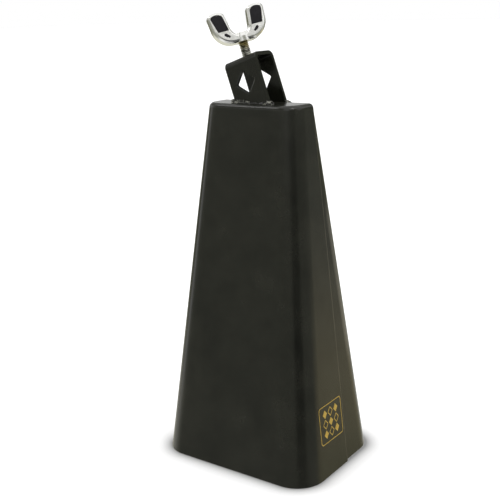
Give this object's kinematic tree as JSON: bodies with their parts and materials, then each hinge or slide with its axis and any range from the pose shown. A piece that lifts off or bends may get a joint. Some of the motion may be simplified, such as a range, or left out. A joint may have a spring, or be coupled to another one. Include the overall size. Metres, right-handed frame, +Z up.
{
  "type": "cowbell",
  "caption": "Tall tapered steel cowbell, open at the wide end, with a tilted strap bracket on its narrow crown that clamps a mounting rod with a thumb screw.",
  "frame": {"origin": "middle of the mouth, in the plane that the bell stands on when its mouth is down", "axes": "+Z up along the bell's height to the crown, X along the broad faces, and -Y is the broad face in front; the bracket leans towards -X"},
  "size_m": [0.1156, 0.089, 0.2873],
  "materials": {
    "bell_paint": "satin black enamel",
    "weld_paint": "satin black enamel over the weld",
    "bracket_paint": "satin black enamel",
    "zinc_steel": "zinc plated",
    "wing_chrome": "polished chrome plate"
  },
  "bodies": {
    "bell": {"front_shell": "bell_paint", "back_shell": "bell_paint", "seam_weld_left": "weld_paint", "seam_weld_right": "weld_paint", "seam_weld_crown": "weld_paint", "mount_bracket": "bracket_paint", "bracket_weld_front": "weld_paint", "bracket_weld_back": "weld_paint"},
    "clamp_screw": {"clamp_stud": "zinc_steel"},
    "wing": {"wing_head": "wing_chrome"}
  },
  "joints": [
    {"name": "screw_advance", "type": "slide", "parent": "bell", "child": "clamp_screw", "axis": [-0.3289, 0, 0.9444], "range_m": [-0.00901, 0.00301]},
    {"name": "wing_turn", "type": "hinge", "parent": "clamp_screw", "child": "wing", "pos_m": [-0.0125, 0, 0.26449], "axis": [-0.3289, 0, 0.9444], "range_deg": [-3240, 1080]}
  ],
  "couplings": [
    {"joint": "screw_advance", "follows": "wing_turn", "m_per_rad": 0.00015915}
  ]
}
